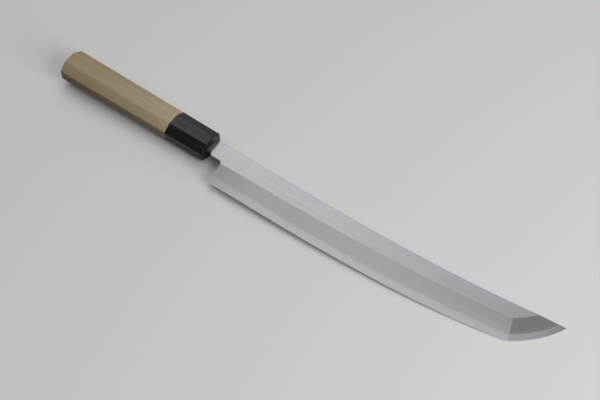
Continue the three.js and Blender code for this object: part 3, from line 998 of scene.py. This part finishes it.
def octagon_bar(name, handle, ends, crispness, dome, material):
    """The tree's bar as a plain mesh, given its back and front X and the X and radius of its dome's ball."""
    tree = bpy.data.node_groups.get(OCTAGON) or octagon_tree()
    made = bpy.data.objects.new(name, bpy.data.meshes.new(name))
    bpy.context.scene.collection.objects.link(made)
    bar = made.modifiers.new("bar", "NODES")
    bar.node_group = tree
    values = {"Crispness": crispness, "Material": material}
    values["Back X"], values["Front X"] = ends
    values["Dome X"], values["Dome radius"] = dome
    for label in SECTION:
        size = label.lower().replace(" ", "_")
        values[label] = getattr(handle, "front_" + size)
        values[label + " growth"] = handle_growth(handle, size)
    for item in tree.interface.items_tree:
        if item.in_out == "INPUT":
            bar[item.identifier] = values[item.name]
    mesh = evaluated_mesh(made)
    made.modifiers.remove(bar)
    made.data = mesh
    one_material(made, material)
    return made


def ease_rims(made, middle, front, back):
    """Rounds the rims of a bar: those in front of its middle by one width, those behind it by another."""
    mesh = bmesh.new()
    mesh.from_mesh(made.data)
    bmesh.ops.remove_doubles(mesh, verts=mesh.verts, dist=SAME_PLACE)
    mesh.normal_update()
    for side, width in ((1, front), (-1, back)):
        sharp = [
            edge
            for edge in mesh.edges
            if edge.is_manifold
            and edge.calc_face_angle() > RIM_TURN
            and side * ((edge.verts[0].co.x + edge.verts[1].co.x) / 2 - middle) > 0
        ]
        bmesh.ops.bevel(
            mesh,
            geom=sharp,
            offset=width,
            offset_type="OFFSET",
            segments=RIM_STEPS,
            profile=0.5,
            affect="EDGES",
            clamp_overlap=False,
        )
    mesh.to_mesh(made.data)
    mesh.free()


def carve(made, *tools):
    """Applies pairs of an operation and a tool object to a piece, and removes the tools."""
    material = made.data.materials[0]
    for operation, tool in tools:
        cut = made.modifiers.new("cut", "BOOLEAN")
        cut.operation = operation
        cut.solver = "EXACT"
        cut.object = tool
        mesh = evaluated_mesh(made)
        made.modifiers.remove(cut)
        made.data = mesh
        spare = tool.data
        bpy.data.objects.remove(tool)
        bpy.data.meshes.remove(spare)
    one_material(made, material)


def round_tool(name, from_x, to_x, diameter):
    """A round bar along X to cut or join with."""
    radius = diameter / 2
    mesh = bmesh.new()
    bmesh.ops.create_cone(
        mesh, cap_ends=True, segments=ROUND_STEPS, radius1=radius, radius2=radius, depth=to_x - from_x
    )
    mesh.transform(Matrix.Translation(((from_x + to_x) / 2, 0, 0)) @ Matrix.Rotation(math.pi / 2, 4, "Y"))
    return object_of(name, mesh)


def tang_tool(name, curves, from_x, to_x, clearance):
    """A four-sided bar round the tang, grown on all sides by a clearance."""
    mesh = bmesh.new()
    rings = []
    for x in (from_x, to_x):
        half = curves.tang_height(x) / 2 + clearance
        thick = curves.tang_thickness(x) / 2 + clearance
        middle = curves.sizes.tang_offset
        rings.append([
            mesh.verts.new((x, middle + up * half, side * thick))
            for up, side in ((1, 1), (-1, 1), (-1, -1), (1, -1))
        ])
    first, last = rings
    for at in range(4):
        following = (at + 1) % 4
        mesh.faces.new((first[at], first[following], last[following], last[at]))
    mesh.faces.new(tuple(reversed(first)))
    mesh.faces.new(tuple(last))
    bmesh.ops.recalc_face_normals(mesh, faces=mesh.faces)
    return object_of(name, mesh)


def settle(made, matrix):
    """Lays a piece where the knife lies, smooth but for its crisp edges."""
    mesh = bmesh.new()
    mesh.from_mesh(made.data)
    mesh.transform(matrix)
    shade(mesh, PIECE_CREASE)
    mesh.to_mesh(made.data)
    mesh.free()


def take_place(made, node):
    """Puts a finished piece in the place of its CAD node."""
    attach(made, BODY)
    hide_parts(node)


class Finish(Nodes):
    """A material with a Principled shader and short ways to its patterns."""

    def __init__(self, name, **values):
        self.material = bpy.data.materials.new(name)
        self.material.use_nodes = True
        super().__init__(self.material.node_tree)
        self.shader = self.tree.nodes["Principled BSDF"]
        for socket, value in values.items():
            self.show(socket.replace("_", " "), value)

    def show(self, socket, value):
        """Gives a socket of the shader its value."""
        self.give(self.shader.inputs[socket], value)

    def pattern(self, waves, layer=""):
        """Object coordinates, or one of the piece's own layers, scaled along each axis."""
        if layer:
            source = self.add("ShaderNodeUVMap", uv_map=layer).outputs["UV"]
        else:
            source = self.add("ShaderNodeTexCoord").outputs["Object"]
        return self.add("ShaderNodeMapping", {"Vector": source, "Scale": waves}).outputs["Vector"]

    def axes(self, waves=PLAIN, layer=""):
        """The three parts of such a pattern."""
        return self.add("ShaderNodeSeparateXYZ", {"Vector": self.pattern(waves, layer)}).outputs

    def noise(self, waves, layer="", detail=3.0, roughness=0.55, distortion=0.0):
        """Soft noise on such a pattern."""
        values = {
            "Vector": self.pattern(waves, layer),
            "Scale": 1.0,
            "Detail": detail,
            "Roughness": roughness,
            "Distortion": distortion,
        }
        return self.add("ShaderNodeTexNoise", values).outputs["Fac"]

    def spread(self, value, given, wanted=UNIT):
        """A value carried from one range to another."""
        values = {"Value": value}
        values["From Min"], values["From Max"] = given
        values["To Min"], values["To Max"] = wanted
        return self.add("ShaderNodeMapRange", values).outputs["Result"]

    def mix(self, part, first, second):
        """Two values mixed by a share of the second."""
        return self.plus(self.times(first, 1 - part), self.times(second, part))

    def blend(self, part, first, second):
        """Two colours mixed by a value."""
        node = self.add("ShaderNodeMix", data_type="RGBA")
        self.give(node.inputs["Factor"], part)
        self.give(node.inputs[MIX_FIRST], first)
        self.give(node.inputs[MIX_SECOND], second)
        return node.outputs[MIX_RESULT]

    def scaled(self, shade, level):
        """A colour made lighter or darker by a value."""
        node = self.add("ShaderNodeVectorMath", {0: shade, "Scale": level}, operation="SCALE")
        return node.outputs["Vector"]

    def bump(self, height, depth):
        """Wires a height to the shader's normal, with its depth in metres."""
        values = {"Height": height, "Distance": depth, "Strength": 1.0}
        self.show("Normal", self.add("ShaderNodeBump", values).outputs["Normal"])


def tone(base, level=1.0):
    """A colour made lighter or darker, with full alpha."""
    return tuple(min(1.0, part * level) for part in base) + (1.0,)


def satin_metal(name, base, stain, neck_start):
    """Stone-finished metal: soft clouds, fine lines along the blade, uneven gloss, a stain by the ferrule."""
    metal = Finish(name)
    clouds = metal.noise(SATIN_CLOUDS, detail=4.0)
    lines = metal.noise(SATIN_LINES, "grain", detail=3.0)
    bands = metal.noise(SATIN_BANDS, "grain", detail=2.0)
    level = metal.spread(metal.mix(SATIN_BAND_SHARE, clouds, bands), NOISE, around(1.0, SATIN_MOTTLE))
    along, _, _ = metal.axes(layer="grain")
    patches = metal.noise(STAIN_PATCHES, detail=3.0)
    wander = metal.times(metal.minus(patches, NOISE_MIDDLE), STAIN_WANDER)
    clean = metal.spread(metal.plus(along, wander), [neck_start + reach for reach in STAIN_EDGE])
    metal.show("Base Color", metal.scaled(metal.blend(clean, tone(stain), tone(base)), level))
    gloss = metal.spread(lines, NOISE, around(SATIN_ROUGHNESS, GLOSS_PLAY))
    metal.show("Roughness", metal.plus(gloss, metal.spread(clean, UNIT, (STAIN_DULLNESS, 0.0))))
    metal.show("Metallic", metal.spread(clean, UNIT, (STAIN_METAL, 1.0)))
    metal.bump(lines, SATIN_DEPTH)
    return metal.material


class HazeAndShade(NamedTuple):
    """How the polish of a bevel varies, and the painted shade that darkens it along X and under its ridge.
    Places are along X, and levels are shares of the full colour.
    """

    roughness: float
    clouds: float  # in waves per metre
    mottle: float  # how much lighter and darker the clouds make it
    soft: float  # half width of the line between iron and steel, as a share of the bevel
    fading: tuple  # the places between which painted shade makes the bevel darker
    steel_end: float  # level of its steel at the last of them
    ridge_end: float  # level of its iron under the ridge there
    heel: tuple = ()  # the places next to the heel between which it gets lighter, as its painted shade fades out
    heel_level: float = 1.0  # its level at the first of them


def hazy_bevel(name, iron, steel, weld, haze):
    """A bevel polished as one: cloudy iron that goes over into brighter steel without a sharp line, with
    painted shade along X and under its ridge.
    """
    metal = Finish(name, Metallic=1.0)
    along, rise, _ = metal.axes(layer="rise")
    clouds = metal.noise((haze.clouds,) * 3, detail=4.0)
    lines = metal.noise(HAZE_LINES, "rise", detail=3.0)
    drift = metal.times(metal.minus(clouds, NOISE_MIDDLE), HAZE_WANDER * haze.soft)
    iron_part = metal.spread(metal.plus(rise, drift), around(weld, haze.soft))
    # painted shade: darker under the ridge, more so along X, and the steel darker along X
    ridge_fall = metal.spread(along, haze.fading, (RIDGE_START, 1 - haze.ridge_end))
    ridge_shade_level = metal.minus(WELD_LEVEL, metal.times(ridge_fall, metal.spread(rise, (weld, 1.0))))
    faded = metal.scaled(tuple(steel), metal.spread(along, haze.fading, (1.0, haze.steel_end)))
    mottle = metal.spread(metal.plus(clouds, lines), TWO_NOISES, around(1.0, haze.mottle))
    level = metal.times(ridge_shade_level, mottle)
    # painted shade: darker next to the heel
    if haze.heel:
        level = metal.times(level, metal.spread(along, haze.heel, (haze.heel_level, 1.0)))
    metal.show("Base Color", metal.scaled(metal.blend(iron_part, faded, tone(iron)), level))
    metal.show("Roughness", metal.spread(clouds, NOISE, around(haze.roughness, GLOSS_PLAY)))
    metal.bump(lines, HAZE_DEPTH)
    return metal.material


def horn_finish(base):
    """Polished horn: near black, with fine paler fibres along it and faint polishing lines."""
    horn = Finish("polished_black_horn", IOR=1.54, Specular_IOR_Level=0.25)
    fibres = horn.noise(HORN_FIBRES, detail=4.0, distortion=0.2)
    bands = horn.noise(HORN_BANDS, detail=3.0)
    part = horn.spread(horn.times(fibres, bands), HORN_RANGE)
    dark, pale = (tone(base, level) for level in HORN_TONES)
    horn.show("Base Color", horn.blend(part, dark, pale))
    horn.show("Roughness", horn.spread(fibres, NOISE, HORN_GLOSS))
    horn.bump(fibres, HORN_DEPTH)
    return horn.material


def wood_finish(butt, ferrule, pale_x):
    """Pale straight-grained wood: soft growth layers, fine fibres and short pores, dull from use.

    The colours are those at the butt and next to the ferrule, and pale_x holds the places where one goes over
    into the other.
    """
    wood = Finish("pale_straight_wood", IOR=1.45)
    along, _, _ = wood.axes()
    base = wood.blend(wood.spread(along, pale_x), tone(butt), tone(ferrule))
    drift = wood.noise(WOOD_DRIFT, detail=2.0)
    _, across, up = wood.axes(WOOD_LAYERS)
    layers = wood.plus(wood.plus(across, up), wood.times(drift, LAYER_DRIFT))
    late = wood.reckon("POWER", wood.reckon("FRACT", layers), LAYER_POWER)
    fibres = wood.noise(WOOD_FIBRES, detail=4.0)
    bands = wood.noise(WOOD_BANDS, detail=3.0)
    pores = wood.spread(wood.noise(WOOD_PORES, detail=1.0), PORE_RANGE)
    grain = wood.spread(wood.mix(1 - WOOD_FIBRE_SHARE, fibres, bands), WOOD_RANGE, WOOD_LEVELS)
    flecks = wood.times(wood.spread(late, UNIT, LAYER_LEVELS), wood.spread(pores, UNIT, PORE_LEVELS))
    wood.show("Base Color", wood.scaled(base, wood.times(grain, flecks)))
    wood.show("Roughness", wood.spread(fibres, NOISE, WOOD_GLOSS))
    wood.bump(wood.minus(fibres, wood.times(pores, PORE_DEPTH)), WOOD_DEPTH)
    return wood.material


def dull_finish(name, base, rough, waves, metallic):
    """An unpolished surface: mottled colour and gloss."""
    dull = Finish(name, Metallic=metallic)
    mottle = dull.noise((waves,) * 3, detail=5.0, roughness=0.65)
    dark, pale = (tone(base, level) for level in DULL_TONES)
    dull.show("Base Color", dull.blend(dull.spread(mottle, NOISE), dark, pale))
    dull.show("Roughness", dull.spread(mottle, NOISE, around(rough, DULL_PLAY)))
    dull.bump(mottle, DULL_DEPTH)
    return dull.material


class BladeFinishes:
    """The materials of the blade; those of the bevels run over both layers."""

    def __init__(self, curves, finish):
        neck_start = curves.sizes.neck_start
        # The long bevel's painted shade: darker next to the heel and towards the point corner, most under its
        # ridge.
        long_haze_and_shade = HazeAndShade(
            roughness=0.44,
            clouds=110.0,
            mottle=0.06,
            soft=0.07,
            fading=(LONG_FADING, curves.corner_x),
            steel_end=0.97,
            ridge_end=0.82,
            heel=(curves.heel_x, curves.heel_x + HEEL_SHADE),
            heel_level=0.83,
        )
        # The point's painted shade: darker towards the tip, most in its steel.
        point_haze_and_shade = HazeAndShade(
            roughness=0.48,
            clouds=160.0,
            mottle=0.09,
            soft=0.045,
            fading=(curves.corner_x + POINT_FADING, curves.tip_x),
            steel_end=0.66,
            ridge_end=0.97,
        )
        weld = curves.point_share
        self.flat = satin_metal("satin_flat", finish.flat, finish.tang, neck_start)
        self.long_bevel = hazy_bevel("hazy_long_bevel_painted_shade", finish.bevel, finish.steel, weld, long_haze_and_shade)
        # painted shade: the point's iron and steel are coloured darker than those of the long bevel
        self.point_bevel = hazy_bevel("hazy_point_bevel_painted_shade", finish.point, finish.point_steel, weld, point_haze_and_shade)
        self.tang = dull_finish("forge_brown_tang", finish.tang, rough=0.55, waves=700.0, metallic=0.6)
        self.back = satin_metal("ground_back", finish.back, finish.tang, neck_start)
        # painted glint: the honed strip is coloured much paler than its steel, for the bright line along the
        # edge
        self.honed = satin_metal("honed_edge_painted_glint", finish.honed, finish.tang, neck_start)


class KNIFE_OT_blade(bpy.types.Operator):
    """Make the soft iron and the hard steel of the blade"""

    bl_idname = "knife.blade"
    bl_label = "Blade"

    def execute(self, context):
        scene = context.scene
        curves = BladeCurves(scene.knife_blade)
        finishes = BladeFinishes(curves, scene.knife_finishes)
        matrix = knife_to_table(curves, scene.knife_handle) @ Matrix.Translation((0, 0, curves.back_z))
        neck = neck_ribs(curves)
        ribs = blade_ribs(curves, neck[-1][-1])
        take_place(self.iron(curves, matrix, finishes, neck, ribs), "blade_soft_iron")
        take_place(self.steel(curves, matrix, finishes, neck, ribs), "blade_hard_steel")
        return {"FINISHED"}

    @staticmethod
    def iron(curves, matrix, finishes, neck, ribs):
        """The soft iron: flat, bevels above the weld, neck and tang."""
        materials = (finishes.flat, finishes.long_bevel, finishes.point_bevel, finishes.tang, finishes.back)
        flat, bevel, point, tang, back = range(len(materials))
        slab = Slab(curves, lambda place, row: (place.top, place.weld))
        for first, second in zip(neck, neck[1:]):
            shown, under = (flat, back) if second[0].x > 0 else (tang, tang)
            slab.strip(first, second, (0, RIDGE_ROW), shown, under)
        for at, (first, second) in enumerate(zip(ribs, ribs[1:])):
            slab.strip(first, second, (0, RIDGE_ROW), flat, bevel)
            slab.strip(first, second, (RIDGE_ROW, WELD_ROW), bevel if at < LONG_STEPS else point, bevel)
        slab.walls(flat, tang)
        return slab.finish("blade_iron", matrix, materials)

    @staticmethod
    def steel(curves, matrix, finishes, neck, ribs):
        """The hard steel: bright band, honed edge and hollow back."""
        materials = (finishes.long_bevel, finishes.point_bevel, finishes.honed, finishes.back, finishes.tang)
        band, point, honed, back, tang = range(len(materials))
        slab = Slab(curves, lambda place, row: (place.weld if row < WELD_ROW else place.top, place.back))
        for first, second in zip(neck, neck[1:]):
            if first[0].x > curves.sizes.steel_start:
                slab.strip(first, second, (0, RIDGE_ROW), back, back)
        for at, (first, second) in enumerate(zip(ribs, ribs[1:])):
            polish, edge = (band, honed) if at < LONG_STEPS else (point, point)
            slab.strip(first, second, (0, EDGE_ROW - 1), polish, back)
            slab.strip(first, second, (EDGE_ROW - 1, EDGE_ROW), edge, back)
        slab.walls(back, tang)
        return slab.finish("blade_steel", matrix, materials)


class KNIFE_OT_ferrule(bpy.types.Operator):
    """Make the horn ferrule"""

    bl_idname = "knife.ferrule"
    bl_label = "Ferrule"

    def execute(self, context):
        scene = context.scene
        handle = scene.knife_handle
        curves = BladeCurves(scene.knife_blade)
        horn = horn_finish(scene.knife_finishes.horn)
        back_x = -handle.ferrule_length
        made = octagon_bar("ferrule_horn", handle, (back_x, 0.0), handle.horn_crispness, NO_DOME, horn)
        ease_rims(made, back_x / 2, handle.front_ease, handle.joint_ease)
        bore_x = back_x + handle.bore_depth
        bore_diameter = handle.tenon_diameter + 2 * handle.tenon_clearance
        bore = round_tool("bore_tool", back_x - 2 * OVERCUT, bore_x, bore_diameter)
        slot = tang_tool("slot_tool", curves, bore_x - OVERCUT, 2 * OVERCUT, handle.slot_clearance)
        carve(made, ("DIFFERENCE", bore), ("DIFFERENCE", slot))
        settle(made, knife_to_table(curves, handle))
        take_place(made, "horn_ferrule")
        return {"FINISHED"}


class KNIFE_OT_handle(bpy.types.Operator):
    """Make the octagonal wood handle with its tenon"""

    bl_idname = "knife.handle"
    bl_label = "Handle"

    def execute(self, context):
        scene = context.scene
        handle = scene.knife_handle
        curves = BladeCurves(scene.knife_blade)
        matrix = knife_to_table(curves, handle)
        shoulder_x = -handle.ferrule_length - handle.glue_line
        butt_x = -handle.ferrule_length - handle.wood_length
        end_x = butt_x - handle.butt_dome
        rim = math.hypot(handle.butt_height, handle.butt_spine_flat) / 2
        ball = (rim**2 + handle.butt_dome**2) / (2 * handle.butt_dome)
        wood = self.finish(scene.knife_finishes, matrix, butt_x, shoulder_x)
        made = octagon_bar(
            "handle_wood", handle, (end_x, shoulder_x), handle.wood_crispness, (end_x, ball), wood
        )
        ease_rims(made, (butt_x + shoulder_x) / 2, handle.joint_ease, handle.butt_ease)
        tenon_x = -handle.ferrule_length + handle.bore_depth - handle.tenon_end_gap
        slot_x = -curves.sizes.tang_length - handle.tang_end_gap
        tenon = round_tool("tenon_tool", shoulder_x - OVERCUT, tenon_x, handle.tenon_diameter)
        slot = tang_tool("slot_tool", curves, slot_x, tenon_x + OVERCUT, handle.tang_clearance)
        carve(made, ("UNION", tenon), ("DIFFERENCE", slot))
        settle(made, matrix)
        take_place(made, "wood_handle")
        return {"FINISHED"}

    @staticmethod
    def finish(finishes, matrix, butt_x, shoulder_x):
        """The wood, which gets paler towards the ferrule."""
        pale = (lerp(butt_x, shoulder_x, PALE_START), shoulder_x)
        pale_x = [(matrix @ Vector((x, 0, 0))).x for x in pale]
        return wood_finish(finishes.wood, finishes.pale_wood, pale_x)


class KNIFE_OT_seal(bpy.types.Operator):
    """Make the resin that closes the ferrule's slot round the tang"""

    bl_idname = "knife.seal"
    bl_label = "Seal"

    def execute(self, context):
        scene = context.scene
        handle = scene.knife_handle
        curves = BladeCurves(scene.knife_blade)
        outer = handle.slot_clearance - handle.seal_gap
        resin = dull_finish("dark_resin", scene.knife_finishes.resin, rough=0.4, waves=500.0, metallic=0.0)
        made = tang_tool("seal_resin", curves, -handle.seal_depth, -handle.seal_recess, outer)
        made.data.materials.append(resin)
        tang = tang_tool("tang_tool", curves, -handle.seal_depth - OVERCUT, OVERCUT, handle.seal_gap)
        carve(made, ("DIFFERENCE", tang))
        settle(made, knife_to_table(curves, handle))
        take_place(made, "tang_seal")
        return {"FINISHED"}


class KNIFE_OT_stage(bpy.types.Operator):
    """Make the floor, the soft light and the camera"""

    bl_idname = "knife.stage"
    bl_label = "Stage"

    def execute(self, context):
        scene = context.scene
        stage = scene.knife_stage
        scene.view_settings.view_transform = "Standard"
        self.floor(stage)
        self.world(scene, stage)
        self.lamps(scene, stage)
        self.camera(scene, stage)
        return {"FINISHED"}

    @staticmethod
    def floor(stage):
        """A wide pale floor, which throws less light back at the knife than it shows."""
        mesh = bmesh.new()
        bmesh.ops.create_circle(mesh, cap_ends=True, segments=FLOOR_STEPS, radius=FLOOR_RADIUS)
        paint = Finish("pale_floor", Roughness=0.9, Specular_IOR_Level=0.1)
        path = paint.add("ShaderNodeLightPath").outputs
        shown = paint.most(path["Is Camera Ray"], path["Is Glossy Ray"])
        shown = paint.most(shown, path["Is Transmission Ray"])
        bounced = tone(stage.floor, stage.floor_bounce)
        paint.show("Base Color", paint.blend(shown, bounced, tone(stage.floor)))
        made = object_of("floor", mesh, [paint.material])

    @staticmethod
    def world(scene, stage):
        """Soft surroundings, brightest above and behind the knife, and plain where the camera sees them."""
        world = bpy.data.worlds.new("soft_dome")
        world.use_nodes = True
        nodes = Nodes(world.node_tree)
        direction = nodes.add("ShaderNodeTexCoord").outputs["Generated"]
        axis = tuple(Vector(DOME_AXIS).normalized())
        turn = nodes.add("ShaderNodeVectorMath", {0: direction, 1: axis}, operation="DOT_PRODUCT")
        lobe = nodes.reckon("POWER", nodes.most(turn.outputs["Value"], 0.0), DOME_POWER)
        level = nodes.plus(nodes.times(lobe, stage.dome_level), stage.dome_floor)
        seen = nodes.add("ShaderNodeLightPath").outputs["Is Camera Ray"]
        plain = nodes.times(seen, stage.backdrop)
        lit = nodes.times(nodes.minus(1.0, seen), level)
        background = world.node_tree.nodes["Background"]
        nodes.give(background.inputs["Color"], (1.0, 1.0, 1.0, 1.0))
        nodes.give(background.inputs["Strength"], nodes.plus(plain, lit))
        scene.world = world

    @staticmethod
    def lamps(scene, stage):
        """Two soft lamps: one that the flat mirrors to the camera, and a fill on the tip's side."""
        for name, place, size, level in (
            ("soft_key", KEY_PLACE, KEY_SIZE, stage.key_level),
            ("soft_fill", FILL_PLACE, FILL_SIZE, stage.fill_level),
        ):
            lamp = bpy.data.lights.new(name, "AREA")
            lamp.shape = "RECTANGLE"
            lamp.size, lamp.size_y = size
            lamp.energy = math.pi * lamp.size * lamp.size_y * level
            away = Vector(place).normalized()
            side = (Vector((1.0, 0.0, 0.0)) - away * away.x).normalized()
            turned = Matrix((side, away.cross(side), away)).transposed()
            made = bpy.data.objects.new(name, lamp)
            made.matrix_world = Matrix.Translation(place) @ turned.to_4x4()
            scene.collection.objects.link(made)

    @staticmethod
    def camera(scene, stage):
        """The photograph's view."""
        lens = bpy.data.cameras.new("camera")
        lens.sensor_width = SENSOR_WIDTH
        lens.lens = stage.lens
        flat = math.cos(stage.elevation)
        back = Vector((
            math.sin(stage.azimuth) * flat,
            -math.cos(stage.azimuth) * flat,
            math.sin(stage.elevation),
        ))
        made = bpy.data.objects.new("camera", lens)
        made.location = Vector((stage.target_x, stage.target_y, 0.0)) + back * stage.distance
        made.rotation_mode = "QUATERNION"
        made.rotation_quaternion = back.to_track_quat("Z", "Y")
        scene.collection.objects.link(made)
        scene.camera = made


class KNIFE_PT_pieces(bpy.types.Panel):
    """Lists the knife's pieces and sizes"""

    bl_idname = "KNIFE_PT_pieces"
    bl_label = "Slicing knife"
    bl_space_type = "VIEW_3D"
    bl_region_type = "UI"
    bl_category = "Knife"

    def draw(self, context):
        layout = self.layout
        for operator in OPERATORS:
            layout.operator(operator.bl_idname)
        for name, group in GROUPS:
            box = layout.box()
            for key in group.__annotations__:
                box.prop(getattr(context.scene, name), key)


GROUPS = (
    ("knife_blade", KnifeBladeSizes),
    ("knife_handle", KnifeHandleSizes),
    ("knife_finishes", KnifeFinishes),
    ("knife_stage", KnifeStage),
)
OPERATORS = (KNIFE_OT_blade, KNIFE_OT_ferrule, KNIFE_OT_handle, KNIFE_OT_seal, KNIFE_OT_stage)
CLASSES = tuple(group for _, group in GROUPS) + OPERATORS + (KNIFE_PT_pieces,)


def register():
    for made in CLASSES:
        bpy.utils.register_class(made)
    for name, group in GROUPS:
        setattr(bpy.types.Scene, name, PointerProperty(type=group))


def unregister():
    for name, _ in GROUPS:
        delattr(bpy.types.Scene, name)
    for made in reversed(CLASSES):
        bpy.utils.unregister_class(made)


def main():
    register()
    bpy.ops.knife.blade()
    bpy.ops.knife.ferrule()
    bpy.ops.knife.handle()
    bpy.ops.knife.seal()
    bpy.ops.knife.stage()


if __name__ == "__main__":
    main()
